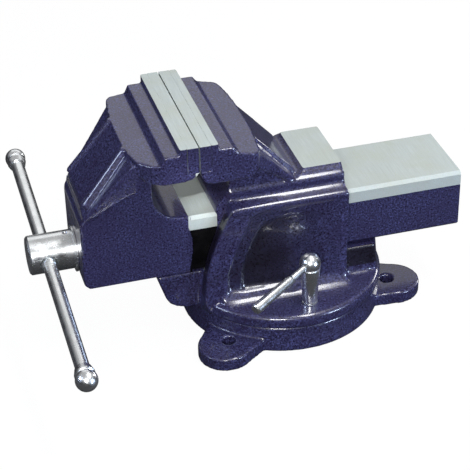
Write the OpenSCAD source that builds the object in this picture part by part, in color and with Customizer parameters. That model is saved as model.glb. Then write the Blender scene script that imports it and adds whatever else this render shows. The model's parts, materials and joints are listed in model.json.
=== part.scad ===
// Engineer's bench vise with a swivel base and an anvil.
// The origin is the centre of the base's underside, on the swivel axis.
// +X points to the rear (the anvil), -X to the handle, and +Z up.

/* [Jaws] */
// Width of the jaws
jaw_w = 150; // [120:1:190]
// Height of a jaw plate
plate_h = 25; // [18:1:32]
// Thickness of a jaw plate
plate_t = 10; // [8:0.5:13]
// Thickness of the machined casting land behind a jaw plate
land_t = 6.8; // [5:0.2:9]
// Gap left between the jaw plates at rest
rest_gap = 1.2; // [0.6:0.1:2]
// Distance of the jaw line ahead of the swivel axis
jaw_line = 95; // [85:1:115]
// Height of the jaw tops above the slide
jaw_rise = 92.2; // [80:0.5:112]
// Depth of the moving jaw's head
moving_head_depth = 33; // [29:0.2:39]
// Depth of the fixed jaw's head
fixed_head_depth = 39.4; // [33:0.2:47]
// Diameter of the jaw plate screws
plate_screw_d = 8; // [6:0.5:10]

/* [Slide] */
// Width of the slide bar
slide_w = 80; // [66:1:96]
// Height of the slide bar
slide_h = 59.7; // [50:0.5:72]
// Length of the slide bar behind the swivel axis
slide_rear = 169; // [150:1:205]
// Distance of the moving jaw's front face from the jaw line
front_reach = 104; // [100:1:126]
// Width of the channel under the slide bar
channel_w = 42; // [38:1:50]
// Thickness of the slide bar's top wall
slide_roof = 18.2; // [12:0.2:22]
// Thickness of the slide bar's front wall
front_wall = 25; // [18:1:34]
// Running clearance between the slide bar and its tunnel
slide_gap = 0.3; // [0.2:0.05:0.6]

/* [Spindle] */
// Major diameter of the lead screw
screw_d = 24; // [20:1:28]
// Height of the screw's axis above the slide's underside
screw_rise = 22; // [19:0.5:25]
// Length of the screw behind the swivel axis
screw_rear = 125; // [120:1:150]
// Diameter of the spindle head
head_d = 37; // [32:1:44]
// Length of the spindle head
head_len = 42.5; // [36:0.5:52]
// Distance from the spindle head's outer face to the tommy bar
bar_inset = 17; // [14:0.5:20]
// Diameter of the tommy bar
bar_d = 13; // [10:0.5:15]
// Distance between the centres of the tommy bar's knobs
bar_len = 348; // [280:2:430]
// How far the tommy bar stands towards the -Y side at rest
bar_shift = 10; // [0:1:20]
// Tilt of the tommy bar at rest, in degrees
bar_tilt = 3.5; // [0:0.5:30]
// Diameter of the tommy bar's knobs
knob_d = 20; // [17.5:0.5:25]

/* [Fixed body] */
// Distance of the body's rear face behind the swivel axis
body_rear = 52; // [46:1:62]
// Thickness of the body's floor under the slide
floor_t = 31.2; // [26:0.2:38]
// Thickness of the body's roof over the slide
roof_t = 29.5; // [24:0.5:36]
// Thickness of the body's side walls
wall_t = 14.7; // [12:0.1:18]
// Width of the anvil's top
anvil_w = 76; // [64:1:92]
// Length of the anvil's top
anvil_l = 38; // [32:1:46]

/* [Swivel base] */
// Diameter of the body's round foot
foot_d = 196.6; // [190:0.2:236]
// Thickness of the foot's rim
foot_t = 13.6; // [11:0.2:17]
// Diameter of the base casting
base_d = 194; // [188:1:216]
// Height of the base casting
base_h = 26.1; // [25:0.1:34]
// Gap between the base and the foot
swivel_gap = 0.3; // [0.2:0.05:0.5]
// Radius at which the bolt holes lie
bolt_r = 106; // [104:0.5:125]
// Diameter of the bolt holes
bolt_hole_d = 13; // [10:0.5:15]
// Width of a mounting lug
lug_w = 52; // [42:1:62]
// Thickness of a mounting lug
lug_t = 13; // [10:0.5:16]
// Diameter of the pivot bolt
pivot_d = 20; // [16:1:24]

/* [Swivel locks] */
// Sideways distance of a lock from the swivel axis
lock_y = 77; // [75:0.5:79]
// Rearward distance of a lock from the swivel axis
lock_x = 6; // [0:0.5:8]
// Diameter of a lock stud
stud_d = 10; // [8:0.5:11]
// Height of a lock nut
lock_nut_h = 36.2; // [30:0.2:44]
// Diameter of a lock nut at its top
lock_nut_d = 18.8; // [16:0.2:22]
// Diameter of a lever ball
ball_d = 20; // [16:0.5:24]
// Length of a lock lever from the centre of its ball
lever_len = 78; // [65:1:94]
// Diameter of a lock lever's grip
lever_d = 10.4; // [8:0.2:12]

/* [Hidden] */
$fn = 96;

// Colours
enamel = [0.20, 0.19, 0.40];
ground = [0.78, 0.83, 0.78];
bright = [0.88, 0.89, 0.91];
steel = [0.55, 0.56, 0.58];
spring_steel = [0.35, 0.36, 0.38];
bronze = [0.72, 0.55, 0.30];

// Fits
run_fit = 0.05;      // radial clearance of a shaft that turns or slides in its bore
thread_fit = 0.05;   // radial clearance that stands for a thread
face_gap = 0.3;      // gap between faces that move past each other

// Levels, from the bench up
foot_z = base_h + swivel_gap;
foot_top = foot_z + foot_t;
floor_top = foot_top + floor_t;
slide_z = floor_top + slide_gap;
slide_top = slide_z + slide_h;
tunnel_top = slide_top + slide_gap;
anvil_top = tunnel_top + roof_t;
jaw_top = slide_top + jaw_rise;
plate_z = jaw_top - plate_h;
screw_z = slide_z + screw_rise;

// Stations along the slide
front_x = -jaw_line - front_reach;
plate_u = rest_gap / 2;
land_u = plate_u + plate_t;
tier_u = land_u + land_t;
washer_t = 1.6;
head_in = front_x - face_gap - washer_t;
head_out = head_in - head_len;
bar_x = head_out + bar_inset;
body_w = slide_w + 2 * slide_gap + 2 * wall_t;

// Jaw heads, drawn in u (distance from the jaw line) and z
tier_1 = jaw_top - 5.6;
tier_len = 14;
valley_u = tier_u + tier_len + 3;
back_u = valley_u + 18;
neck_u = 36;
corner_u = front_reach - 3.5;
roof_u = 21.5;
head_half = jaw_w / 2;
far_end = head_half - 5;
rail_half = slide_w / 2;

// Base
lug_angles = [-134, -14, 106];
lug_r = 112;
slot_r = norm([lock_x, lock_y]);
slot_half = stud_d / 2 + 0.4;
undercut_half = slot_half + 3.8;
undercut_z = 8.6;
undercut_h = 9;
hex_head_h = 13;
pivot_head_z = 3;
pivot_seat_z = floor_top - 18;
pivot_nut_h = 12.5;

// Locks
lock_washer_t = 1.8;
lock_z = foot_top + lock_washer_t + face_gap;
lock_nut_top = lock_z + lock_nut_h;
ball_z = lock_nut_top + 0.27 * ball_d;
lever_turn = -148;
lever_drop = 8;
lever_stem_d = 6.4;
lever_stem_len = 26;

// Lead nut
nut_front = -65;
nut_len = 40;
nut_half = channel_w / 2 - 1;
nut_top = slide_top - slide_roof - 2;
nut_bolt_d = 10;
nut_bolt_x = [nut_front + 10, nut_front + nut_len - 10];
nut_bolt_head_z = foot_z + 8;

// Spindle inside the jaw
channel_front = front_x + front_wall;
spring_x = channel_front + face_gap;
spring_len = 21;
spring_wire = 3;
spring_r = screw_d / 2 + 1 + spring_wire / 2;
spring_turns = 4;
head_socket = 12.5;
head_spigot_d = screw_d - 6;
head_pin_d = 5;
cotter_d = 4;
knob_seat = 8;

function arc(c, r, from, to, n = 10) =
    [for (i = [0:n]) let (a = from + (to - from) * i / n) c + r * [cos(a), sin(a)]];
function flip(points) = [for (p = points) [p[0], -p[1]]];
function both_sides(points) =
    concat(points, [for (i = [len(points) - 1:-1:0]) [-points[i][0], points[i][1]]]);

// An outline in x and z, extruded across y
module across(points, half) {
    rotate([90, 0, 0]) linear_extrude(2 * half, center = true) polygon(points);
}

// An outline in y and z, extruded along x
module along(points, from, to) {
    translate([from, 0, 0]) rotate([90, 0, 90]) linear_extrude(to - from) polygon(points);
}

// A plan outline in x and y, extruded up
module upright(points, from, to) {
    translate([0, 0, from]) linear_extrude(to - from) polygon(points);
}

module block(low, high) {
    translate(low) cube(high - low);
}

module rod_z(r, from, to) {
    translate([0, 0, from]) cylinder(r = r, h = to - from);
}

module rod_x(r, from, to) {
    translate([from, 0, screw_z]) rotate([0, 90, 0]) cylinder(r = r, h = to - from);
}

module hexagon_z(across_flats, from, to) {
    translate([0, 0, from]) cylinder(r = across_flats / sqrt(3), h = to - from, $fn = 6);
}

// ---- Jaw heads -------------------------------------------------------------------------

// Plan of the moving jaw's head: its -Y corner is cut off and the other one is rounded
function moving_plan() = [
    [0, -head_half], [valley_u - 1, -head_half], [valley_u + 8, -head_half + 5],
    [back_u, -head_half + 17], [back_u + 4, -head_half + 35], [back_u + 6, -16], [back_u + 6, 16],
    [back_u + 4, far_end - 28], [back_u + 1, far_end - 5], [back_u - 3, far_end],
    [tier_u, far_end], [tier_u, head_half], [0, head_half]
];

// Plan of the fixed jaw's head: both corners are rounded
function fixed_plan() = [
    [0, -head_half], [back_u - 3, -head_half], [back_u + 2, -head_half + 3],
    [back_u + 5, -head_half + 10], [back_u + 7, -head_half + 30], [back_u + 9, -16], [back_u + 9, 16],
    [back_u + 7, far_end - 27], [back_u + 4, far_end - 9], [back_u, far_end - 2],
    [tier_u, far_end - 2], [tier_u, head_half], [0, head_half]
];

// The stepped top, the front rebate and the underside of a head
function head_side(tier_2, tier_2_back, depth) = [
    [plate_u, plate_z], [land_u, plate_z], [land_u, jaw_top], [tier_u, jaw_top],
    [tier_u, tier_1], [tier_u + tier_len - 1, tier_1], [tier_u + tier_len, tier_1 - 0.6],
    [valley_u, tier_2 + 0.8], [valley_u + 2, tier_2], [back_u + 10, tier_2_back],
    [back_u + 10, jaw_top - depth + 14], [back_u - 6, jaw_top - depth],
    [14, jaw_top - depth], [6, jaw_top - depth + 1.5], [plate_u + 2, jaw_top - depth + 6]
];

// The sloping wings that carry the ends of the head
function wing_plan(half) = [
    [valley_u - 2, half], [back_u + 1, half], [back_u + 20, rail_half + 10],
    [corner_u, rail_half], [corner_u, -rail_half], [back_u + 20, -rail_half - 10],
    [back_u + 1, -half], [valley_u - 2, -half]
];
function wing_side(top, toe, underside) = concat(
    [[valley_u - 2, top - 2], [back_u + 4, top - 5], [corner_u, toe - 8]], underside
);

// The raised middle of the back
function spine_side(top, toe) = [
    [valley_u, top - 20], [valley_u, top], [back_u + 5, top - 0.8], [corner_u - 2, toe + 2],
    [corner_u, toe - 3], [corner_u, toe - 16], [neck_u, toe - 16], [neck_u, top - 20]
];
module spine(top, toe, wide, narrow) {
    intersection() {
        across(spine_side(top, toe), head_half);
        upright([[0, -wide], [back_u, -wide], [corner_u, -narrow],
                 [corner_u, narrow], [back_u, wide], [0, wide]], 0, jaw_top);
    }
}

module jaw_head(plan, side, wing_half, wing) {
    intersection() {
        across(side, head_half + 1);
        upright(plan, 0, jaw_top + 1);
    }
    intersection() {
        across(wing, head_half + 1);
        upright(wing_plan(wing_half), 0, jaw_top + 1);
    }
}

// Screws that hold a jaw plate, pointing away from the jaw line
screw_y = jaw_w / 2 - 35;
screw_len = 24;
module plate_screw_places() {
    for (y = [-screw_y, screw_y])
        translate([0, y, plate_z + plate_h / 2]) rotate([0, 90, 0]) children();
}

module jaw_plate() {
    difference() {
        block([plate_u, -jaw_w / 2, plate_z], [land_u, jaw_w / 2, jaw_top]);
        plate_screw_places() {
            cylinder(d = plate_screw_d + 0.4, h = land_u + 1);
            cylinder(d = 1.65 * plate_screw_d + 0.4, h = plate_u + 0.6 * plate_screw_d);
        }
    }
}

module plate_screws() {
    plate_screw_places() difference() {
        union() {
            translate([0, 0, plate_u + 0.8])
                cylinder(d = 1.65 * plate_screw_d, h = 0.6 * plate_screw_d - 0.8);
            translate([0, 0, plate_u + 1]) cylinder(d = plate_screw_d, h = screw_len);
        }
        cylinder(r = 0.4 * plate_screw_d, h = plate_u + 0.45 * plate_screw_d, $fn = 6);
    }
}

module plate_screw_holes() {
    plate_screw_places() cylinder(r = plate_screw_d / 2 + thread_fit, h = screw_len + 6);
}

module on_moving_side() {
    translate([-jaw_line, 0, 0]) mirror([1, 0, 0]) children();
}

module on_fixed_side() {
    translate([-jaw_line, 0, 0]) children();
}

// ---- Moving jaw ------------------------------------------------------------------------

moving_toe = slide_top + 25;

// Front block and throat, in u and z
function moving_neck() = concat(
    [[2, slide_z], [2, slide_top + 1.6], [neck_u - 26, slide_top + 1.6]],
    arc([neck_u - 26, slide_top + 27.6], 26, -80, 0),
    [[neck_u, jaw_top - moving_head_depth + 4], [corner_u - 29, moving_toe + 14],
     [corner_u, moving_toe - 11], [front_reach, moving_toe - 16], [front_reach, slide_z + 5],
     [front_reach - 5, slide_z]]
);

// Plan of the front block, with its front corners rounded off
function neck_plan() = [
    [0, -rail_half], [front_reach - 1, -rail_half], [front_reach, -rail_half + 1],
    [front_reach, rail_half - 5], [front_reach - 1.5, rail_half - 1.5], [front_reach - 5, rail_half],
    [0, rail_half]
];

// The underside of the moving jaw's wings, from the toe to the head
function moving_underside() = [
    [corner_u, moving_toe - 12], [corner_u - 15, moving_toe - 5], [corner_u - 32, moving_toe + 9],
    [back_u + 8, moving_toe + 15], [back_u - 1, moving_toe + 19.5], [valley_u + 9, moving_toe + 32],
    [valley_u - 2, jaw_top - moving_head_depth]
];

module slide_bar() {
    edge = 3;
    section = both_sides([
        [0, slide_z], [rail_half - edge, slide_z], [rail_half, slide_z + edge],
        [rail_half, slide_top - edge], [rail_half - edge, slide_top]
    ]);
    along(section, -jaw_line - neck_u, slide_rear);
}

module moving_jaw() {
    color(enamel) difference() {
        union() {
            slide_bar();
            on_moving_side() {
                intersection() {
                    across(moving_neck(), rail_half);
                    upright(neck_plan(), 0, jaw_top);
                }
                jaw_head(moving_plan(), head_side(jaw_top - 14.2, jaw_top - 16, moving_head_depth),
                         head_half - 17, wing_side(jaw_top - 15, moving_toe, moving_underside()));
                spine(jaw_top - 15.5, moving_toe, 26, 29);
                spine(jaw_top - 18.5, moving_toe - 3, 31, 34);
            }
        }
        block([channel_front, -channel_w / 2, slide_z - 1],
              [slide_rear + 1, channel_w / 2, slide_top - slide_roof]);
        rod_x(screw_d / 2 + run_fit, front_x - 1, channel_front + 1);
        on_moving_side() plate_screw_holes();
    }
}

module moving_jaw_plate() {
    color(ground) on_moving_side() jaw_plate();
}

module moving_plate_screws() {
    color(steel) on_moving_side() plate_screws();
}

// ---- Fixed body ------------------------------------------------------------------------

fixed_toe = anvil_top - 1;
body_half = body_w / 2;
anvil_front = body_rear - 1 - anvil_l;

// Half the cross-section: a rounded rib below the anvil and a wider one over the wall
function side_section() = concat(
    [[0, foot_z + 1], [body_half - 1, foot_z + 1], [body_half - 1, tunnel_top]],
    arc([body_half - 3.5, tunnel_top + 5.5], 4, -20, 100, 8),
    arc([body_half - 7.5, tunnel_top + 16], 5, 250, 190, 5),
    arc([body_half - 15.5, tunnel_top + 19], 4.5, -10, 80, 8),
    [[anvil_w / 2, anvil_top - 3], [anvil_w / 2 - 3, anvil_top], [0, anvil_top]]
);

// The side seen square on: the front edge sweeps forward to the foot
function side_outline() = [
    [-89.5, foot_z + 1], [-89.3, foot_top + 7], [-86.5, slide_z], [-81.5, slide_z + 20],
    [-74, slide_z + 40], [-62, tunnel_top + 4.5], [-61, tunnel_top + 21], [-60, anvil_top - 7],
    [anvil_front - 10, anvil_top - 7], [anvil_front, anvil_top], [body_rear - 2, anvil_top],
    [body_rear - 1, tunnel_top + 14], [body_rear, tunnel_top], [body_rear - 1, foot_z + 1]
];

// The neck between the roof and the fixed jaw, in u and z
function fixed_neck() = concat(
    [[roof_u, tunnel_top], [roof_u + 1, tunnel_top + 5], [neck_u - 5, tunnel_top + 18],
     [neck_u - 1, tunnel_top + 26], [neck_u, jaw_top - fixed_head_depth - 12]],
    arc([neck_u - 14, jaw_top - fixed_head_depth - 12], 14, 0, 70, 6),
    [[back_u - 14, jaw_top - fixed_head_depth + 1], [corner_u - 29, fixed_toe + 14],
     [corner_u, fixed_toe - 12], [corner_u, tunnel_top]]
);

// The underside of the fixed jaw's wings, from the anvil to the head
function fixed_underside() = [
    [corner_u, fixed_toe - 14], [back_u + 3, jaw_top - fixed_head_depth],
    [valley_u - 2, jaw_top - fixed_head_depth]
];

module wall_and_roof() {
    intersection() {
        along(both_sides(side_section()), -jaw_line, body_rear + 4);
        across(side_outline(), body_half + 1);
        translate([0, 0, foot_z]) cylinder(r1 = foot_d / 2, r2 = foot_d / 2 + 60, h = 160);
    }
}

// Concave blend between a side wall and the foot
module wall_blend() {
    blend = 13;
    section = concat(
        [[body_half - 3, foot_top - 1], [body_half - 1 + blend, foot_top - 1]],
        arc([body_half - 1 + blend, foot_top + blend], blend, -90, -180),
        [[body_half - 3, foot_top + blend]]
    );
    intersection() {
        along(both_sides(concat([[0, foot_top - 1]], section, [[0, foot_top + blend]])), -80, body_rear);
        translate([0, 0, foot_top - 2]) cylinder(r = foot_d / 2 - 6, h = 2 * blend);
    }
}

module foot() {
    rim = 4.5;
    profile = concat(
        [[0, foot_z], [foot_d / 2 - 2, foot_z], [foot_d / 2, foot_z + 2]],
        arc([foot_d / 2 - rim, foot_top - rim], rim, 0, 90, 6),
        [[0, foot_top]]
    );
    rotate_extrude() polygon(profile);
}

// The lip that carries the slide in front of the foot
module front_lip() {
    across([
        [-60, foot_z + 4], [-103, foot_z + 4], [-113, foot_z + 7], [-119, foot_z + 11],
        [-122.5, foot_z + 17], [-130, slide_z - 5], [-129, slide_z - 2], [-60, slide_z - 2]
    ], rail_half - 2);
}

// The support behind the foot's centre
module rear_bracket() {
    intersection() {
        translate([0, 0, foot_z + 1])
            cylinder(r1 = foot_d / 2 - 2, r2 = foot_d / 2 - 5.5, h = slide_z - 3 - foot_z);
        block([0, -rail_half - 4, foot_z], [foot_d / 2, rail_half + 4, slide_z - 3]);
    }
}

// A recess in the side wall that fades out towards the rear
module wall_recess(outline, depth, rear) {
    side_y = body_half - 1;
    intersection() {
        across(outline, body_half + 5);
        upright([[-95, side_y - depth], [rear, side_y], [rear, side_y + 4], [-95, side_y + 4]],
                foot_top + 9, tunnel_top + 4);
    }
}

module wall_recesses() {
    outer = [[-67, foot_top], [-66, slide_z], [-56, slide_z + 28], [-42, tunnel_top - 2],
             [-32, tunnel_top + 2], [44, tunnel_top + 2], [44, foot_top]];
    inner = [[-53, foot_top], [-51.5, slide_z], [-48.5, slide_z + 12], [-43, slide_z + 27],
             [-37, slide_z + 39], [-30, slide_z + 47], [-19, slide_z + 51], [-5, slide_z + 52],
             [40, slide_z + 50], [40, foot_top]];
    for (side = [0, 1]) mirror([0, side, 0]) {
        wall_recess(outer, 4, 70);
        wall_recess(inner, 8.5, 52);
    }
}

module lock_places() {
    for (side = [-1, 1]) translate([lock_x, side * lock_y, 0]) children();
}

module fixed_body() {
    color(enamel) difference() {
        union() {
            foot();
            wall_and_roof();
            wall_blend();
            front_lip();
            rear_bracket();
            on_fixed_side() {
                across(fixed_neck(), rail_half + 1);
                jaw_head(fixed_plan(), head_side(jaw_top - 11.5, jaw_top - 17.5, fixed_head_depth),
                         head_half - 12, wing_side(jaw_top - 16, fixed_toe, fixed_underside()));
                spine(jaw_top - 16.5, fixed_toe, 35, 33);
            }
        }
        block([-jaw_line - 40, -rail_half - slide_gap, floor_top],
              [body_rear + 60, rail_half + slide_gap, tunnel_top]);
        wall_recesses();
        rod_z(pivot_d / 2 + run_fit, foot_z - 1, floor_top + 1);
        rod_z(pivot_d, pivot_seat_z, floor_top + 1);
        lock_places() rod_z(stud_d / 2 + 0.2, foot_z - 1, foot_top + 20);
        lock_places() rod_z(lock_nut_d / 2 + 4, foot_top, foot_top + 40);
        for (x = nut_bolt_x) translate([x, 0, 0]) {
            rod_z(nut_bolt_d / 2 + 0.2, foot_z - 1, floor_top + 1);
            rod_z(0.9 * nut_bolt_d, foot_z - 1, nut_bolt_head_z);
        }
        on_fixed_side() plate_screw_holes();
    }
}

module fixed_jaw_plate() {
    color(ground) on_fixed_side() jaw_plate();
}

module fixed_plate_screws() {
    color(steel) on_fixed_side() plate_screws();
}

// ---- Lead nut --------------------------------------------------------------------------

module lead_nut() {
    color(bronze) difference() {
        block([nut_front, -nut_half, floor_top], [nut_front + nut_len, nut_half, nut_top]);
        rod_x(screw_d / 2 + run_fit, nut_front - 1, nut_front + nut_len + 1);
        for (x = nut_bolt_x) translate([x, 0, 0])
            rod_z(nut_bolt_d / 2 + thread_fit, floor_top - 1, nut_bolt_end() + 0.5);
    }
}

function nut_bolt_end() = screw_z - screw_d / 2 - 1.5;

module lead_nut_bolts() {
    color(steel) for (x = nut_bolt_x) translate([x, 0, 0]) difference() {
        union() {
            rod_z(nut_bolt_d / 2, nut_bolt_head_z - 1, nut_bolt_end());
            rod_z(0.8 * nut_bolt_d, foot_z + 0.5, nut_bolt_head_z);
        }
        hexagon_z(0.8 * nut_bolt_d, foot_z, nut_bolt_head_z - 3);
    }
}

// ---- Swivel base -----------------------------------------------------------------------

module lug_outline(extra = 0) {
    for (a = lug_angles) rotate(a) {
        translate([lug_r, 0]) circle(d = lug_w + extra);
        polygon([[lug_r, lug_w / 2], [base_d / 2 - 12, lug_w / 2 + 5],
                 [base_d / 2 - 12, -lug_w / 2 - 5], [lug_r, -lug_w / 2]]);
    }
}

module ring(inner, outer, from, to) {
    difference() {
        rod_z(outer, from, to);
        rod_z(inner, from - 1, to + 1);
    }
}

module swivel_base() {
    color(enamel) difference() {
        union() {
            rotate_extrude() polygon([
                [0, 0], [base_d / 2 - 1.5, 0], [base_d / 2, 1.5],
                [base_d / 2 - 3, base_h - 2], [base_d / 2 - 5, base_h], [0, base_h]
            ]);
            difference() {
                linear_extrude(lug_t) lug_outline();
                rod_z(base_d / 2 - 20, -1, lug_t + 1);
            }
        }
        ring(slot_r - slot_half, slot_r + slot_half, undercut_z + 1, base_h + 1);
        ring(slot_r - undercut_half, slot_r + undercut_half, undercut_z, undercut_z + undercut_h);
        rotate([0, 0, 90]) translate([slot_r, 0, 0])
            rod_z(undercut_half, undercut_z, base_h + 1);
        rotate([0, 0, -90]) translate([slot_r, 0, 0])
            rod_z(undercut_half, undercut_z, base_h + 1);
        ring(34, slot_r - undercut_half - 8, -1, 14);
        rod_z(pivot_d / 2 + run_fit, -1, base_h + 1);
        hexagon_z(1.5 * pivot_d + 0.4, -1, pivot_head_z + hex_head_h);
        for (a = lug_angles) rotate([0, 0, a]) translate([bolt_r, 0, 0])
            rod_z(bolt_hole_d / 2, -1, lug_t + 1);
        for (a = lug_angles) rotate([0, 0, a]) translate([bolt_r, 0, 0])
            rod_z(bolt_hole_d / 2 + 2.4, lug_t, base_h + 1);
    }
}

module pivot_bolt() {
    color(steel) union() {
        hexagon_z(1.5 * pivot_d, pivot_head_z, pivot_head_z + hex_head_h);
        rod_z(pivot_d / 2, pivot_head_z + hex_head_h - 1, floor_top - 1);
    }
}

module pivot_washer() {
    color(steel) ring(pivot_d / 2 + thread_fit, 0.92 * pivot_d,
                      pivot_seat_z + face_gap, pivot_seat_z + face_gap + 3);
}

module pivot_nut() {
    low = pivot_seat_z + face_gap + 3;
    color(steel) difference() {
        hexagon_z(1.5 * pivot_d, low, low + pivot_nut_h);
        rod_z(pivot_d / 2 + thread_fit, low - 1, low + pivot_nut_h + 1);
    }
}

// ---- Swivel locks ----------------------------------------------------------------------

// Drawn on the -Y side; the other lock is its mirror image
module lock_frame() {
    translate([lock_x, -lock_y, 0]) children();
}

// A lock stud with its T head, which is curved to run in the base's round slot
module lock_stud() {
    color(steel) union() {
        lock_frame() rod_z(stud_d / 2, undercut_z + undercut_h - 2, lock_nut_top - 3);
        intersection() {
            ring(slot_r - undercut_half + 0.5, slot_r + undercut_half - 0.5,
                 undercut_z + 0.6, undercut_z + undercut_h - 0.4);
            lock_frame() translate([0, 0, undercut_z + undercut_h / 2]) cube([20, 40, 2 * undercut_h], center = true);
        }
    }
}

module lock_washer() {
    color(bright) lock_frame()
        ring(stud_d / 2 + thread_fit, lock_nut_d / 2 - 2, foot_top, foot_top + lock_washer_t);
}

module lock_nut() {
    color(bright) lock_frame() difference() {
        translate([0, 0, lock_z]) cylinder(d1 = lock_nut_d - 5, d2 = lock_nut_d, h = lock_nut_h);
        rod_z(stud_d / 2 + run_fit, lock_z - 1, lock_nut_top - 2);
    }
}

// The lever's own line, from the ball's centre out and down
module lever_line() {
    lock_frame() translate([0, 0, ball_z])
        rotate([0, 0, lever_turn]) rotate([0, 90 + lever_drop, 0]) children();
}

module lever_ball() {
    color(bright) difference() {
        lock_frame() translate([0, 0, ball_z]) sphere(d = ball_d);
        lock_frame() rod_z(ball_d, ball_z - ball_d, lock_nut_top);
        lever_line() translate([0, 0, -2]) cylinder(r = lever_stem_d / 2 + 0.03, h = ball_d);
    }
}

module lock_lever() {
    tip = 1.2;
    color(bright) lever_line() rotate_extrude() polygon([
        [0, 0], [lever_stem_d / 2, 0], [lever_stem_d / 2, lever_stem_len],
        [lever_d / 2 - 0.9, lever_stem_len + 3], [lever_d / 2, lever_len - tip],
        [lever_d / 2 - tip, lever_len], [0, lever_len]
    ]);
}

module mirrored() {
    mirror([0, 1, 0]) children();
}

// ---- Spindle ---------------------------------------------------------------------------

module lead_screw() {
    color(steel) difference() {
        union() {
            rod_x(screw_d / 2, head_in, screw_rear - 3);
            translate([screw_rear - 3, 0, screw_z]) rotate([0, 90, 0])
                cylinder(r1 = screw_d / 2, r2 = screw_d / 2 - 3, h = 3);
            rod_x(head_spigot_d / 2, head_in - head_socket, head_in + 1);
        }
        pin_z(head_pin_d / 2 + thread_fit, head_in - head_socket / 2, 100);
        pin_z(cotter_d / 2 + thread_fit, cotter_x(), 100);
    }
}

module pin_z(r, x, length) {
    translate([x, 0, screw_z]) cylinder(r = r, h = length, center = true);
}

function washer_end() = spring_x + spring_len + washer_t;
function cotter_x() = washer_end() + cotter_d / 2;

module spindle_head() {
    chamfer = 1.6;
    color(bright) difference() {
        union() {
            rod_x(head_d / 2, head_out + chamfer, head_in - 0.8);
            translate([head_out, 0, screw_z]) rotate([0, 90, 0])
                cylinder(r1 = head_d / 2 - chamfer, r2 = head_d / 2, h = chamfer);
            rod_x(head_d / 2 - 1.5, head_in - 0.9, head_in);
        }
        rod_x(head_spigot_d / 2 + thread_fit, head_in - head_socket - 0.5, head_in + 1);
        pin_z(head_pin_d / 2 + thread_fit, head_in - head_socket / 2, 100);
        bar_line() {
            cylinder(r = bar_d / 2 + run_fit, h = 100, center = true);
            for (side = [0, 1]) mirror([0, 0, side])
                translate([0, 0, head_d / 2 - 3.5]) cylinder(r1 = bar_d / 2, r2 = bar_d / 2 + 3, h = 4.5);
        }
    }
}

module head_pin() {
    color(steel) pin_z(head_pin_d / 2, head_in - head_socket / 2, head_d - 2);
}

module thrust_washer() {
    color(bright) difference() {
        rod_x(head_d / 2 + 3.5, head_in, head_in + washer_t);
        rod_x(screw_d / 2 + thread_fit, head_in - 1, head_in + washer_t + 1);
    }
}

module spring_washer() {
    color(steel) difference() {
        rod_x(spring_r + 2, spring_x + spring_len, washer_end());
        rod_x(screw_d / 2 + thread_fit, spring_x + spring_len - 1, washer_end() + 1);
    }
}

module cotter_pin() {
    color(steel) pin_z(cotter_d / 2, cotter_x(), screw_d + 8);
}

// A coil round the screw, one ring of points at each step
module spindle_spring() {
    sides = 8;
    steps = 20 * spring_turns;
    rise = (spring_len - spring_wire) / steps;
    ring_points = [for (i = [0:steps], j = [0:sides - 1])
        let (turn = 360 * spring_turns * i / steps, side = 360 * j / sides,
             r = spring_r + spring_wire / 2 * cos(side))
        [spring_x + spring_wire / 2 + rise * i + spring_wire / 2 * sin(side),
         r * cos(turn), screw_z + r * sin(turn)]];
    walls = [for (i = [0:steps - 1], j = [0:sides - 1])
        let (k = (j + 1) % sides)
        [i * sides + j, (i + 1) * sides + j, (i + 1) * sides + k, i * sides + k]];
    caps = [[for (j = [0:sides - 1]) j], [for (j = [sides - 1:-1:0]) steps * sides + j]];
    color(spring_steel) polyhedron(ring_points, concat(walls, caps));
}

// ---- Tommy bar -------------------------------------------------------------------------

// The bar's own line through the spindle head, with +z towards the +Y side
module bar_line() {
    translate([bar_x, 0, screw_z]) rotate([bar_tilt, 0, 0]) rotate([-90, 0, 0]) children();
}

module tommy_bar() {
    half = bar_len / 2 - knob_d / 2 + 2;
    color(bright) bar_line() translate([0, 0, -bar_shift]) cylinder(d = bar_d, h = 2 * half, center = true);
}

// A turned knob: a cone up from the bar, a groove and a ball
module tommy_knob(side) {
    ball = knob_d / 2;
    outline = concat(
        [[0, -14], [bar_d / 2 + 1.2, -14], [ball - 0.8, -8], [ball - 0.8, -6.2], [ball - 2.6, -5]],
        arc([0, 0], ball, -25, 72, 12),
        [[0, ball * sin(72)]]
    );
    color(bright) bar_line() translate([0, 0, -bar_shift])
        mirror([0, 0, side < 0 ? 1 : 0]) translate([0, 0, bar_len / 2])
            difference() {
                rotate_extrude() polygon(outline);
                translate([0, 0, -20]) cylinder(r = bar_d / 2 + 0.02, h = 20 - ball + 2 + 0.1);
            }
}

swivel_base();
pivot_bolt();
pivot_washer();
pivot_nut();
fixed_body();
fixed_jaw_plate();
fixed_plate_screws();
lead_nut();
lead_nut_bolts();
lock_stud();  // near_lock_stud
lock_washer();  // near_lock_washer
lock_nut();  // near_lock_nut
lever_ball();  // near_lever_ball
lock_lever();  // near_lock_lever
mirrored() lock_stud();  // far_lock_stud
mirrored() lock_washer();  // far_lock_washer
mirrored() lock_nut();  // far_lock_nut
mirrored() lever_ball();  // far_lever_ball
mirrored() lock_lever();  // far_lock_lever
moving_jaw();
moving_jaw_plate();
moving_plate_screws();
lead_screw();
spindle_head();
head_pin();
thrust_washer();
spindle_spring();
spring_washer();
cotter_pin();
tommy_bar();
tommy_knob(-1);  // near_tommy_knob
tommy_knob(1);  // far_tommy_knob
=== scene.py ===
"""The looks of the swivel-base bench vise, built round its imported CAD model."""
import itertools
import json
import math

import bmesh
import bpy
from mathutils import Matrix, Vector


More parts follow.
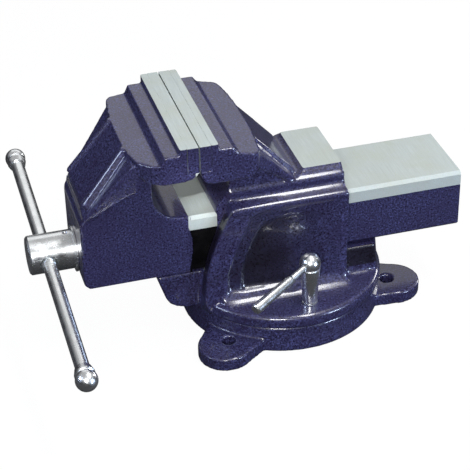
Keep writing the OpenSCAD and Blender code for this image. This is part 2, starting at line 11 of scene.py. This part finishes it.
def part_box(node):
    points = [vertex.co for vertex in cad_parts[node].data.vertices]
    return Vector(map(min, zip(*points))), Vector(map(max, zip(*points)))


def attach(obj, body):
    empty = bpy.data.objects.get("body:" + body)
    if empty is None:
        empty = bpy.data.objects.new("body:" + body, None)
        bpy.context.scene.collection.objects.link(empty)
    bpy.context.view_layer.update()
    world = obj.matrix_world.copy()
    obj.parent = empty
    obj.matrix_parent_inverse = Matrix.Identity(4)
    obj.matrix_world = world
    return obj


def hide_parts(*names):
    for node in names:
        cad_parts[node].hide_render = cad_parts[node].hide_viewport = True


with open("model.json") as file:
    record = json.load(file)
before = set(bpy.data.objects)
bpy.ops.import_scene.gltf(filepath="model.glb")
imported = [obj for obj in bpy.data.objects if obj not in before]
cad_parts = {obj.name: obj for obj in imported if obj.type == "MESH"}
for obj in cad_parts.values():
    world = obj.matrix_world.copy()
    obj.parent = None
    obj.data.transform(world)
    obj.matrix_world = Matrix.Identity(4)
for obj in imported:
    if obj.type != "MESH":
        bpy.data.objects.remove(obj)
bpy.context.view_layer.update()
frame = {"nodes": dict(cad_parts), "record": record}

MM = 0.001

# ---- Places, all from the frame ----------------------------------------------------------

JAW_LOW, JAW_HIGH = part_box("moving_jaw")
HEAD_LOW, HEAD_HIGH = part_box("spindle_head")
JAW_TOP = JAW_HIGH.z
BASE_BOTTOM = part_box("swivel_base")[0].z
FOOT_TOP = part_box("near_lock_washer")[0].z
SCREW_Z = (HEAD_LOW.z + HEAD_HIGH.z) / 2
ANVIL_TOP = next(m for m in frame["record"]["mounts"] if m["name"] == "anvil_face")["pos_m"][2]
SLIDE_HEIGHT = 59.7 * MM
SLIDE_TOP = JAW_LOW.z + SLIDE_HEIGHT
TUNNEL_HALF = 40.3 * MM
TUNNEL_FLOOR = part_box("lead_nut")[0].z
TUNNEL_ROOF = SLIDE_TOP + 0.3 * MM

# Cell size of the castings' remesh, and the metal that a machined cut takes off afterwards
VOXEL = 1.2 * MM
ALLOWANCE = 1.5 * MM
# Depth to which a block of that metal reaches into the casting
ROOT = 3 * MM
# A distance past every piece, for the far sides of cutting blocks
BEYOND = 0.4
WELD_DISTANCE = 1e-6


# ---- Mesh helpers ------------------------------------------------------------------------

def new_object(name, mesh):
    obj = bpy.data.objects.new(name, mesh)
    bpy.context.scene.collection.objects.link(obj)
    return obj


def set_materials(mesh, *names):
    """Gives a mesh its materials. Clearing them first puts every face back on the first slot."""
    mesh.materials.clear()
    for name in names:
        mesh.materials.append(MATERIALS[name])


def object_from(name, bm):
    """An object from a bmesh, painted on its first material slot and bare on its second."""
    mesh = bpy.data.meshes.new(name)
    set_materials(mesh, *CASTING_SLOTS)
    bm.to_mesh(mesh)
    bm.free()
    return new_object(name, mesh)


def copy_of(node, name):
    """A free copy of a CAD node's mesh, to be worked into a finished piece."""
    obj = new_object(name, frame["nodes"][node].data.copy())
    set_materials(obj.data, *CASTING_SLOTS)
    weld(obj)
    return obj


def weld(obj):
    """Merges the points that a CAD mesh repeats along its edges."""
    bm = bmesh.new()
    bm.from_mesh(obj.data)
    bmesh.ops.remove_doubles(bm, verts=bm.verts, dist=WELD_DISTANCE)
    bm.to_mesh(obj.data)
    bm.free()


def apply_modifiers(obj):
    """Bakes an object's modifiers into its mesh."""
    graph = bpy.context.evaluated_depsgraph_get()
    mesh = bpy.data.meshes.new_from_object(obj.evaluated_get(graph))
    obj.modifiers.clear()
    old = obj.data
    obj.data = mesh
    bpy.data.meshes.remove(old)


def remesh(obj, voxel):
    mod = obj.modifiers.new("remesh", "REMESH")
    mod.mode = "VOXEL"
    mod.voxel_size = voxel
    apply_modifiers(obj)


def smooth(obj, rounds, chosen=None):
    """Rounds a remeshed casting off, all over or only where the chooser says so."""
    mod = obj.modifiers.new("smooth", "SMOOTH")
    mod.factor = 0.5
    mod.iterations = rounds
    if chosen:
        group = obj.vertex_groups.new(name="chosen")
        group.add([v.index for v in obj.data.vertices if chosen(v.co)], 1.0, "REPLACE")
        mod.vertex_group = group.name
    apply_modifiers(obj)
    obj.vertex_groups.clear()


def shade(obj, angle):
    """Smooth shading, with edges sharper than the angle kept crisp."""
    bm = bmesh.new()
    bm.from_mesh(obj.data)
    for face in bm.faces:
        face.smooth = True
    for edge in bm.edges:
        if len(edge.link_faces) == 2:
            edge.smooth = edge.calc_face_angle(0) < math.radians(angle)
    bm.to_mesh(obj.data)
    bm.free()


def open_edges(bm):
    return [edge for edge in bm.edges if len(edge.link_faces) == 1]


def add_block(bm, low, high):
    places = itertools.product(*zip(low, high))
    corners = [bm.verts.new(place) for place in places]
    sides = ((0, 1, 3, 2), (4, 6, 7, 5), (0, 4, 5, 1), (2, 3, 7, 6), (0, 2, 6, 4), (1, 5, 7, 3))
    return [bm.faces.new([corners[i] for i in side]) for side in sides]


def blocks(name, boxes, slot=0):
    """One object of separate boxes, its faces on the given material slot."""
    bm = bmesh.new()
    for low, high in boxes:
        for face in add_block(bm, low, high):
            face.material_index = slot
    return object_from(name, bm)


def prism_y(name, outline, half):
    """An outline in x and z, extruded to both sides along y."""
    bm = bmesh.new()
    ends = [[bm.verts.new((x, y, z)) for x, z in outline] for y in (-half, half)]
    for end in ends:
        bm.faces.new(end)
    near, far = ends
    for i in range(len(outline)):
        bm.faces.new((near[i - 1], near[i], far[i], far[i - 1]))
    bmesh.ops.recalc_face_normals(bm, faces=bm.faces)
    return object_from(name, bm)


def bead(name, start, end, radius):
    """A straight round rib between two points, with flat ends."""
    axis = end - start
    bm = bmesh.new()
    bmesh.ops.create_cone(
        bm, cap_ends=True, segments=32, radius1=radius, radius2=radius, depth=axis.length)
    turn = axis.to_track_quat("Z", "Y").to_matrix().to_4x4()
    bmesh.ops.transform(bm, verts=bm.verts, matrix=Matrix.Translation((start + end) / 2) @ turn)
    return object_from(name, bm)


def join(obj, other):
    """Adds another object's mesh to this one, to be merged by a remesh."""
    bm = bmesh.new()
    bm.from_mesh(obj.data)
    bm.from_mesh(other.data)
    bm.to_mesh(obj.data)
    bm.free()
    bpy.data.objects.remove(other)


def cut_away(obj, tool):
    """Cuts a tool's shape out of an object. The cut faces take the tool's material slot."""
    mod = obj.modifiers.new("cut", "BOOLEAN")
    mod.object = tool
    mod.operation = "DIFFERENCE"
    mod.solver = "MANIFOLD"
    apply_modifiers(obj)
    bpy.data.objects.remove(tool)


def flat_patch(node, z):
    """The low and high corner, in x and y, of a node's flat top at one height."""
    spots = [v.co for v in frame["nodes"][node].data.vertices if abs(v.co.z - z) < 0.01 * MM]
    xs = [p.x for p in spots]
    ys = [p.y for p in spots]
    return (min(xs), min(ys)), (max(xs), max(ys))


def allowance_block(low, high, top):
    """The extra metal over a land, as the corners of a block."""
    return (*low, top - ROOT), (*high, top + ALLOWANCE)


# ---- Materials ---------------------------------------------------------------------------

class Nodes:
    """Short calls for building one material's node tree."""

    def __init__(self, name):
        self.mat = bpy.data.materials.new(name)
        self.mat.use_nodes = True
        self.tree = self.mat.node_tree
        self.shader = self.tree.nodes["Principled BSDF"]

    def add(self, kind, **inputs):
        node = self.tree.nodes.new(kind)
        for key, value in inputs.items():
            if key in node.inputs:
                node.inputs[key].default_value = value
            else:
                setattr(node, key, value)
        return node

    def link(self, source, target):
        self.tree.links.new(source, target)

    def set(self, **values):
        for key, value in values.items():
            self.shader.inputs[key.replace("_", " ")].default_value = value

    def place(self):
        return self.add("ShaderNodeTexCoord").outputs["Object"]

    def noise(self, scale, detail=2.0, roughness=0.5, place=None):
        node = self.add("ShaderNodeTexNoise", Scale=scale, Detail=detail, Roughness=roughness)
        self.link(place or self.place(), node.inputs["Vector"])
        return node.outputs["Fac"]

    def ramp(self, source, stops):
        node = self.add("ShaderNodeValToRGB")
        elements = node.color_ramp.elements
        while len(elements) < len(stops):
            elements.new(0.5)
        for element, (position, color) in zip(elements, stops):
            element.position = position
            element.color = (*color, 1) if len(color) == 3 else color
        self.link(source, node.inputs["Fac"])
        return node.outputs["Color"]

    def span(self, source, low, high, from_low=0.0, from_high=1.0):
        node = self.add("ShaderNodeMapRange")
        node.inputs["From Min"].default_value = from_low
        node.inputs["From Max"].default_value = from_high
        node.inputs["To Min"].default_value = low
        node.inputs["To Max"].default_value = high
        self.link(source, node.inputs["Value"])
        return node.outputs["Result"]

    def mix(self, factor, first, second):
        node = self.add("ShaderNodeMix")
        node.data_type = "RGBA"
        node.blend_type = "MIX"
        for socket, value in ((0, factor), (6, first), (7, second)):
            if isinstance(value, (int, float)):
                node.inputs[socket].default_value = value
            elif isinstance(value, tuple):
                node.inputs[socket].default_value = (*value, 1)
            else:
                self.link(value, node.inputs[socket])
        return node.outputs[2]

    def bump(self, height, distance, strength=1.0, under=None):
        node = self.add("ShaderNodeBump", Strength=strength, Distance=distance)
        self.link(height, node.inputs["Height"])
        if under is not None:
            self.link(under, node.inputs["Normal"])
        self.link(node.outputs["Normal"], self.shader.inputs["Normal"])
        return node.outputs["Normal"]


def enamel():
    """Glossy navy enamel with a fine hammered surface over a cast skin, and painted shade that darkens
    it towards black deep in the side walls' recesses.
    """
    n = Nodes("enamel")
    place = n.place()
    speckle = n.noise(600, 3, 0.6, place)
    cloud = n.noise(24, 3, 0.55, place)
    fine = n.ramp(speckle, [(0.34, (0.008, 0.006, 0.022)), (0.5, (0.020, 0.018, 0.056)),
                            (0.66, (0.060, 0.064, 0.178))])
    color = n.mix(n.span(cloud, 0, 0.5, 0.35, 0.7), fine, (0.016, 0.011, 0.040))
    recess = n.add("ShaderNodeAttribute", attribute_name="recess").outputs["Fac"]
    # painted shade: the enamel is mixed towards near black by how deep the point lies in a side wall's
    # recess
    color = n.mix(n.span(recess, 0, 0.85), color, (0.002, 0.001, 0.002))
    n.link(color, n.shader.inputs["Base Color"])
    n.link(n.span(speckle, 0.24, 0.44, 0.3, 0.7), n.shader.inputs["Roughness"])
    n.set(Metallic=0.0, Specular_IOR_Level=0.45, Coat_Weight=0.7, Coat_Roughness=0.1)
    dimple = n.bump(n.noise(260, 2, 0.5, place), 0.3 * MM, 0.55)
    n.bump(n.noise(40, 2, 0.5, place), 0.6 * MM, 0.4, dimple)
    return n.mat


def ground_steel():
    """Pale ground steel with grinding lines along the jaws and faint stains."""
    n = Nodes("ground_steel")
    place = n.place()
    mapping = n.add("ShaderNodeMapping", Scale=(900, 30, 900))
    n.link(place, mapping.inputs["Vector"])
    lines = n.noise(1.0, 3, 0.6, mapping.outputs["Vector"])
    stain = n.noise(38, 4, 0.55, place)
    base = n.ramp(lines, [(0.25, (0.31, 0.345, 0.335)), (0.75, (0.40, 0.445, 0.435))])
    color = n.mix(n.span(stain, 0, 0.6, 0.4, 0.75), base, (0.34, 0.355, 0.31))
    n.link(color, n.shader.inputs["Base Color"])
    n.link(n.span(lines, 0.45, 0.62, 0.3, 0.7), n.shader.inputs["Roughness"])
    n.set(Metallic=0.15)
    n.bump(lines, 0.03 * MM, 0.5)
    return n.mat


def chrome():
    """Bright plate with a faint haze and a fine grain."""
    n = Nodes("chrome_plate")
    place = n.place()
    haze = n.noise(90, 3, 0.6, place)
    scratch = n.noise(1500, 2, 0.5, place)
    color = n.mix(n.span(haze, 0, 0.35, 0.45, 0.75), (0.88, 0.90, 0.91), (0.74, 0.76, 0.77))
    n.link(color, n.shader.inputs["Base Color"])
    n.link(n.span(haze, 0.20, 0.34, 0.3, 0.7), n.shader.inputs["Roughness"])
    n.set(Metallic=1.0)
    n.bump(scratch, 0.004 * MM, 0.1)
    return n.mat


def plain_metal(name, dark, light, rough):
    """Bare metal, patchy between two colours."""
    n = Nodes(name)
    place = n.place()
    patch = n.noise(70, 4, 0.6, place)
    n.link(n.ramp(patch, [(0.3, dark), (0.7, light)]), n.shader.inputs["Base Color"])
    n.link(n.span(patch, rough - 0.08, rough + 0.1, 0.3, 0.7), n.shader.inputs["Roughness"])
    n.set(Metallic=0.9)
    n.bump(n.noise(900, 2, 0.5, place), 0.02 * MM, 0.4)
    return n.mat


MATERIALS = {
    "enamel": enamel(),
    "ground_steel": ground_steel(),
    "chrome_plate": chrome(),
    "plain_steel": plain_metal("plain_steel", (0.20, 0.20, 0.21), (0.42, 0.42, 0.43), 0.35),
    "spring_steel": plain_metal("spring_steel", (0.05, 0.05, 0.06), (0.12, 0.12, 0.14), 0.3),
    # painted shade: a near-black iron for the slide's sides near the jaw, where the gap lies in deep
    # shade
    "painted_shade_iron": plain_metal("painted_shade_iron", (0.006, 0.006, 0.008), (0.02, 0.018, 0.02), 0.42),
    "nut_bronze": plain_metal("nut_bronze", (0.36, 0.22, 0.08), (0.62, 0.42, 0.18), 0.32),
}
PAINTED = 0
BARE = 1
CASTING_SLOTS = ("enamel", "ground_steel")

for part in frame["record"]["subparts"]:
    set_materials(frame["nodes"][part["node"]].data, part["material_slot"])


def finish_casting(obj, body, node):
    """Shades a finished piece and lets it stand for its CAD node."""
    shade(obj, angle=38)
    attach(obj, body)
    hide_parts(node)


# ---- Fixed body --------------------------------------------------------------------------

WALL_HALF = 55 * MM
TUNNEL_FRONT = -72 * MM
TUNNEL_REAR = 49 * MM
RIDGES_FRONT = -66 * MM
FOOT_BLEND_RADIUS = 90 * MM
FOOT_BLEND_HEIGHT = 13 * MM
RECESS_SHALLOW = 1 * MM
RECESS_DEEP = 6 * MM


def mark_recess(obj):
    """Records how deep each point lies in the side walls' recesses, where painted shade darkens the
    enamel.
    """
    # painted shade: this depth mark darkens the enamel in the recesses
    marks = obj.data.attributes.new("recess", "FLOAT", "POINT")
    for vert, mark in zip(obj.data.vertices, marks.data):
        depth = WALL_HALF - abs(vert.co.y)
        outside = abs(vert.co.y) > TUNNEL_HALF + 2 * MM
        if outside and FOOT_TOP + 8 * MM < vert.co.z < TUNNEL_ROOF:
            mark.value = min(max((depth - RECESS_SHALLOW) / (RECESS_DEEP - RECESS_SHALLOW), 0), 1)


def in_foot_blend(point):
    """Whether a point lies where a side wall blends into the foot."""
    beside = 44 * MM < abs(point.y) and math.hypot(point.x, point.y) < FOOT_BLEND_RADIUS
    return beside and FOOT_TOP - MM < point.z < FOOT_TOP + FOOT_BLEND_HEIGHT


def in_roof_ridges(point):
    """Whether a point lies on the ridges along the roof over the slide."""
    level = TUNNEL_ROOF - 16 * MM < point.z < ANVIL_TOP - 6 * MM
    return level and point.x > RIDGES_FRONT and abs(point.y) > 42 * MM


def fixed_body():
    """The rounded body casting, with its land, anvil top and tunnel machined afterwards."""
    body = copy_of("fixed_body", "fixed_body_casting")
    land = flat_patch("fixed_body", JAW_TOP)
    anvil = flat_patch("fixed_body", ANVIL_TOP)
    (anvil_front, anvil_near), (anvil_rear, anvil_far) = anvil
    raw = [
        allowance_block(*land, JAW_TOP),
        allowance_block(*anvil, ANVIL_TOP),
        ((TUNNEL_FRONT, -TUNNEL_HALF - MM, TUNNEL_FLOOR - MM),
         (TUNNEL_REAR, TUNNEL_HALF + MM, TUNNEL_ROOF + MM)),
    ]
    join(body, blocks("raw", raw))
    remesh(body, VOXEL)
    smooth(body, rounds=8)
    smooth(body, rounds=40, chosen=in_foot_blend)
    smooth(body, rounds=12, chosen=in_roof_ridges)
    cuts = [
        ((-BEYOND, -BEYOND, JAW_TOP), (BEYOND, BEYOND, JAW_TOP + BEYOND)),
        ((anvil_front - 2 * MM, anvil_near - 4 * MM, ANVIL_TOP),
         (anvil_rear + 6 * MM, anvil_far + 4 * MM, ANVIL_TOP + 10 * MM)),
        ((-BEYOND, -TUNNEL_HALF, TUNNEL_FLOOR), (BEYOND, TUNNEL_HALF, TUNNEL_ROOF)),
    ]
    cut_away(body, blocks("cuts", cuts, BARE))
    # painted shade in the side walls' recesses
    mark_recess(body)
    finish_casting(body, "body", "fixed_body")


# ---- Moving jaw --------------------------------------------------------------------------

# The slanting end of the painted jaw casting, in x and z, and the levels over and under the slide
SHOULDER = ((-97.5, 70), (-93.5, 72), (-90.4, 95), (-90, 107.5), (-93.7, 122))
SHOULDER_TOP = (-97 * MM, SLIDE_TOP + 2.5 * MM)
OVER_SLIDE = SLIDE_TOP + 4 * MM
UNDER_SLIDE = 60 * MM
# The bare strip along the slide's sides, and the end of its near-black stretch, which is painted shade
BARE_STRIP = 14 * MM
SHADE_PAINT_END = -71 * MM
# Half the width within which the slide's inner walls lie
INNER_HALF = 30 * MM
# The top and the foot of the rib on the jaw's front slope, on the far side
RIB_TOP = Vector((-150.5, 27.5, 205.5)) * MM
RIB_FOOT = Vector((-192, 32.5, 155.5)) * MM
RIB_RADIUS = 5 * MM


def moving_jaw():
    """The painted jaw casting, cut off behind its shoulder and machined along its land."""
    jaw = copy_of("moving_jaw", "moving_jaw_casting")
    land = flat_patch("moving_jaw", JAW_TOP)
    behind = [(x * MM, z * MM) for x, z in SHOULDER]
    behind += [SHOULDER_TOP, (SHOULDER_TOP[0], OVER_SLIDE), (BEYOND, OVER_SLIDE)]
    behind += [(BEYOND, UNDER_SLIDE), (SHOULDER[0][0] * MM, UNDER_SLIDE)]
    cut_away(jaw, prism_y("behind", behind, BEYOND))
    join(jaw, blocks("raw", [allowance_block(*land, JAW_TOP)]))
    for side in (-1, 1):
        flip = Vector((1, side, 1))
        join(jaw, bead("rib", RIB_TOP * flip, RIB_FOOT * flip, RIB_RADIUS))
    remesh(jaw, VOXEL)
    smooth(jaw, rounds=8)
    top = ((-BEYOND, -BEYOND, JAW_TOP), (BEYOND, BEYOND, JAW_TOP + BEYOND))
    cut_away(jaw, blocks("top", [top], BARE))
    finish_casting(jaw, "jaw", "moving_jaw")


def split(bm, place, normal):
    """Splits every face that a plane crosses."""
    everything = list(bm.verts) + list(bm.edges) + list(bm.faces)
    bmesh.ops.bisect_plane(bm, geom=everything, plane_co=place, plane_no=normal)


def slide_bar():
    """The slide bar behind the jaw casting: bare on top, near-black near the jaw as painted shade,
    enamelled elsewhere.
    """
    # painted shade: the slot of the near-black iron
    painted_shade_slot = 2
    bar = copy_of("moving_jaw", "slide_bar")
    cut_away(bar, blocks("front", [((-BEYOND, -BEYOND, 0), (-99 * MM, BEYOND, BEYOND))]))
    bm = bmesh.new()
    bm.from_mesh(bar.data)
    strip = SLIDE_TOP - BARE_STRIP
    split(bm, (0, 0, strip), (0, 0, 1))
    split(bm, (SHADE_PAINT_END, 0, 0), (1, 0, 0))
    for face in bm.faces:
        center = face.calc_center_median()
        along = center.z > strip and abs(face.normal.x) < 0.9
        if along and (abs(center.y) > INNER_HALF or face.normal.z > 0.5):
            face.material_index = BARE
        else:
            # painted shade: the slide's faces between the jaw and the body go near black
            face.material_index = painted_shade_slot if center.x < SHADE_PAINT_END else PAINTED
    bm.to_mesh(bar.data)
    bm.free()
    bar.data.materials.append(MATERIALS["painted_shade_iron"])
    shade(bar, angle=30)
    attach(bar, "jaw")
    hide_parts("moving_jaw")


def swivel_base():
    """The rounded base casting."""
    base = copy_of("swivel_base", "swivel_base_casting")
    remesh(base, VOXEL)
    smooth(base, rounds=7)
    finish_casting(base, "base", "swivel_base")


# ---- Jaw plates --------------------------------------------------------------------------

SERRATION = 1.5 * MM
SERRATION_DEPTH = 0.5 * MM
PLATE_MARGIN = 1.2 * MM
PEAK_CLEARANCE = 0.01 * MM
CUTTER_HEIGHT = 3 * MM


def serration_cutter(face_x, outward, low, high):
    """A block that leaves rows of small pyramids on a plate's gripping face."""
    length = high.y - low.y - 2 * PLATE_MARGIN
    height = high.z - low.z - 2 * PLATE_MARGIN
    columns = round(length / SERRATION)
    rows = round(height / SERRATION)
    bm = bmesh.new()
    grid = []
    for i in range(columns + 1):
        y = low.y + PLATE_MARGIN + length * i / columns
        line = []
        for j in range(rows + 1):
            z = low.z + PLATE_MARGIN + height * j / rows
            inside = 0 < i < columns and 0 < j < rows
            depth = SERRATION_DEPTH if inside and (i + j) % 2 else -PEAK_CLEARANCE
            line.append(bm.verts.new((face_x - outward * depth, y, z)))
        grid.append(line)
    for i in range(columns):
        for j in range(rows):
            a, b, c, d = grid[i][j], grid[i + 1][j], grid[i + 1][j + 1], grid[i][j + 1]
            halves = ((a, b, c), (a, c, d)) if (i + j) % 2 else ((a, b, d), (b, c, d))
            for half in halves:
                bm.faces.new(half)
    raised = bmesh.ops.extrude_edge_only(bm, edges=open_edges(bm))["geom"]
    for vert in (g for g in raised if isinstance(g, bmesh.types.BMVert)):
        vert.co.x = face_x + outward * CUTTER_HEIGHT
    bmesh.ops.contextual_create(bm, geom=open_edges(bm))
    bmesh.ops.recalc_face_normals(bm, faces=bm.faces)
    return object_from("serration", bm)


def jaw_plate(node, body, outward):
    """A ground plate with serrated face and painted ends."""
    low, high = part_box(node)
    plate = copy_of(node, node + "_finished")
    face_x = high.x if outward > 0 else low.x
    cut_away(plate, serration_cutter(face_x, outward, low, high))
    for face in plate.data.polygons:
        face.material_index = PAINTED if abs(face.normal.y) > 0.9 else BARE
    shade(plate, angle=20)
    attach(plate, body)
    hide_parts(node)


# ---- Lead screw --------------------------------------------------------------------------

THREAD_PITCH = 5 * MM
# One pitch of the thread's profile: place along x and depth
THREAD_PROFILE = ((0, 0), (1.7 * MM, 0), (2.5 * MM, 2.4 * MM), (4.2 * MM, 2.4 * MM))
THREAD_STEPS = 48
THREAD_RELIEF = 0.02 * MM


def thread(name, radius, low_x, high_x):
    """A right-hand trapezoidal thread along x, which runs past both places and is closed there."""
    turns = math.ceil((high_x - low_x) / THREAD_PITCH) + 3
    count = len(THREAD_PROFILE)
    bm = bmesh.new()
    rings = []
    for i in range(turns * count):
        offset, depth = THREAD_PROFILE[i % count]
        ring = []
        for k in range(THREAD_STEPS):
            angle = 2 * math.pi * k / THREAD_STEPS
            x = low_x + THREAD_PITCH * (i // count - 1 - k / THREAD_STEPS) + offset
            r = radius - depth
            ring.append(bm.verts.new((x, r * math.cos(angle), SCREW_Z - r * math.sin(angle))))
        rings.append(ring)
    for i in range(len(rings) - 1):
        for k in range(THREAD_STEPS - 1):
            bm.faces.new((rings[i][k], rings[i + 1][k], rings[i + 1][k + 1], rings[i][k + 1]))
        if i >= count:
            bm.faces.new((rings[i][0], rings[i + 1][0], rings[i - count + 1][-1], rings[i - count][-1]))
    rim = open_edges(bm)
    for end_x in (low_x - 4 * THREAD_PITCH, high_x + 4 * THREAD_PITCH):
        tip = bm.verts.new((end_x, 0, SCREW_Z))
        for edge in rim:
            if abs(edge.verts[0].co.x - end_x) < (high_x - low_x) / 2:
                bm.faces.new((*edge.verts, tip))
    bmesh.ops.recalc_face_normals(bm, faces=bm.faces)
    return object_from(name, bm)


def lead_screw():
    """The lead screw in two pieces: its plain ends, and the threaded stretch between them."""
    low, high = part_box("lead_screw")
    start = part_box("cotter_pin")[1].x + 6 * MM
    end = high.x - 3 * MM
    shank = copy_of("lead_screw", "lead_screw_shank")
    screw = thread("lead_screw_thread", (high.y - low.y) / 2 - THREAD_RELIEF, start, end)
    stretches = ((shank, [(start, end)]), (screw, [(start - 1, start), (end, end + 1)]))
    for piece, spans in stretches:
        cuts = [((a, -BEYOND, 0), (b, BEYOND, BEYOND)) for a, b in spans]
        cut_away(piece, blocks("cuts", cuts))
        set_materials(piece.data, "plain_steel")
        shade(piece, angle=28)
        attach(piece, "spindle")
        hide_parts("lead_screw")


fixed_body()
moving_jaw()
slide_bar()
swivel_base()
jaw_plate("moving_jaw_plate", "jaw", 1)
jaw_plate("fixed_jaw_plate", "body", -1)
lead_screw()

# ---- Camera, light and floor -------------------------------------------------------------

CAMERA_AZIMUTH = math.radians(-15.48)
CAMERA_ELEVATION = math.radians(33.08)
CAMERA_ROLL = math.radians(-1.264)
CAMERA_DISTANCE = 1.5079
CAMERA_TARGET = Vector((-0.04407, 0.0, 0.07696))
CAMERA_LENS = 120.57


def add_camera():
    data = bpy.data.cameras.new("camera")
    data.sensor_width = 36
    data.lens = CAMERA_LENS
    data.clip_start = 0.05
    data.clip_end = 50
    cam = new_object("camera", data)
    back = Vector((
        math.sin(CAMERA_AZIMUTH) * math.cos(CAMERA_ELEVATION),
        -math.cos(CAMERA_AZIMUTH) * math.cos(CAMERA_ELEVATION),
        math.sin(CAMERA_ELEVATION),
    ))
    turn = (-back).to_track_quat("-Z", "Y").to_matrix().to_4x4()
    roll = Matrix.Rotation(CAMERA_ROLL, 4, "Z")
    cam.matrix_world = Matrix.Translation(CAMERA_TARGET + back * CAMERA_DISTANCE) @ turn @ roll
    bpy.context.scene.camera = cam


def aim_lamp(name, data, place, aim):
    turn = (Vector(aim) - Vector(place)).to_track_quat("-Z", "Y").to_matrix().to_4x4()
    new_object(name, data).matrix_world = Matrix.Translation(place) @ turn


def add_area(name, place, aim, size, power, color=(1, 1, 1)):
    """A rectangular softbox."""
    data = bpy.data.lights.new(name, "AREA")
    data.shape = "RECTANGLE"
    data.size, data.size_y = size
    data.energy = power
    data.color = color
    aim_lamp(name, data, place, aim)


def add_spot(name, place, aim, angle, power):
    """A narrow lamp, its whole cone given in degrees."""
    data = bpy.data.lights.new(name, "SPOT")
    data.spot_size = math.radians(angle)
    data.spot_blend = 0.7
    data.shadow_soft_size = 0.02
    data.energy = power
    aim_lamp(name, data, place, aim)


def add_world():
    """A bright sky over a dark horizon, for the reflections, which the camera sees as white."""
    world = bpy.data.worlds.new("studio")
    bpy.context.scene.world = world
    world.use_nodes = True
    nodes = world.node_tree.nodes
    link = world.node_tree.links.new
    sky = nodes["Background"]
    coords = nodes.new("ShaderNodeTexCoord")
    split_xyz = nodes.new("ShaderNodeSeparateXYZ")
    ramp = nodes.new("ShaderNodeValToRGB")
    plain = nodes.new("ShaderNodeBackground")
    path = nodes.new("ShaderNodeLightPath")
    choice = nodes.new("ShaderNodeMixShader")
    low, high = ramp.color_ramp.elements
    low.position, low.color = 0.05, (0.03, 0.03, 0.035, 1)
    high.position, high.color = 0.6, (1, 1, 1, 1)
    ramp.color_ramp.elements.new(0.32).color = (0.30, 0.31, 0.33, 1)
    sky.inputs["Strength"].default_value = 0.4
    plain.inputs["Color"].default_value = (1, 1, 1, 1)
    link(coords.outputs["Generated"], split_xyz.inputs["Vector"])
    link(split_xyz.outputs["Z"], ramp.inputs["Fac"])
    link(ramp.outputs["Color"], sky.inputs["Color"])
    link(path.outputs["Is Camera Ray"], choice.inputs["Fac"])
    link(sky.outputs["Background"], choice.inputs[1])
    link(plain.outputs["Background"], choice.inputs[2])
    link(choice.outputs["Shader"], nodes["World Output"].inputs["Surface"])


def add_floor():
    """A floor that looks white to the camera, with only a faint shadow, and dark in reflections."""
    half_width = 6
    bm = bmesh.new()
    bmesh.ops.create_grid(bm, x_segments=1, y_segments=1, size=half_width)
    floor = object_from("floor", bm)
    floor.location.z = BASE_BOTTOM - 0.2 * MM
    n = Nodes("floor")
    n.set(Base_Color=(0.035, 0.035, 0.035, 1), Roughness=0.9, Specular_IOR_Level=0.0)
    n.set(Emission_Color=(1, 1, 1, 1))
    path = n.add("ShaderNodeLightPath")
    n.link(n.span(path.outputs["Is Camera Ray"], 0.0, 0.96), n.shader.inputs["Emission Strength"])
    floor.data.materials.clear()
    floor.data.materials.append(n.mat)


def add_studio():
    bpy.context.scene.view_settings.view_transform = "Standard"
    add_world()
    add_floor()
    add_area("key", (0.29, -0.25, 1.25), (0.29, 0, 0.1), (0.18, 0.8), 12)
    add_area("behind", (0.35, 1.55, 1.15), (0, 0, 0.12), (2.2, 1.1), 4.8)
    add_area("front", (-0.45, -1.3, 0.85), (-0.08, 0, 0.1), (0.4, 0.3), 17)
    add_area("left", (-1.45, -0.25, 0.85), (-0.15, 0, 0.15), (0.3, 0.3), 8, (0.62, 0.74, 1.0))
    add_area("right", (1.1, -1.3, 0.32), (0.05, 0, 0.05), (0.4, 0.3), 18, (0.62, 0.76, 1.0))
    add_area("back", (1.5, 0.6, 0.45), (0, 0, 0.1), (0.5, 0.3), 7)
    add_spot("throat", (-0.36, -0.78, 0.77), (-0.083, -0.02, 0.127), 2.4, 95)


add_camera()
add_studio()
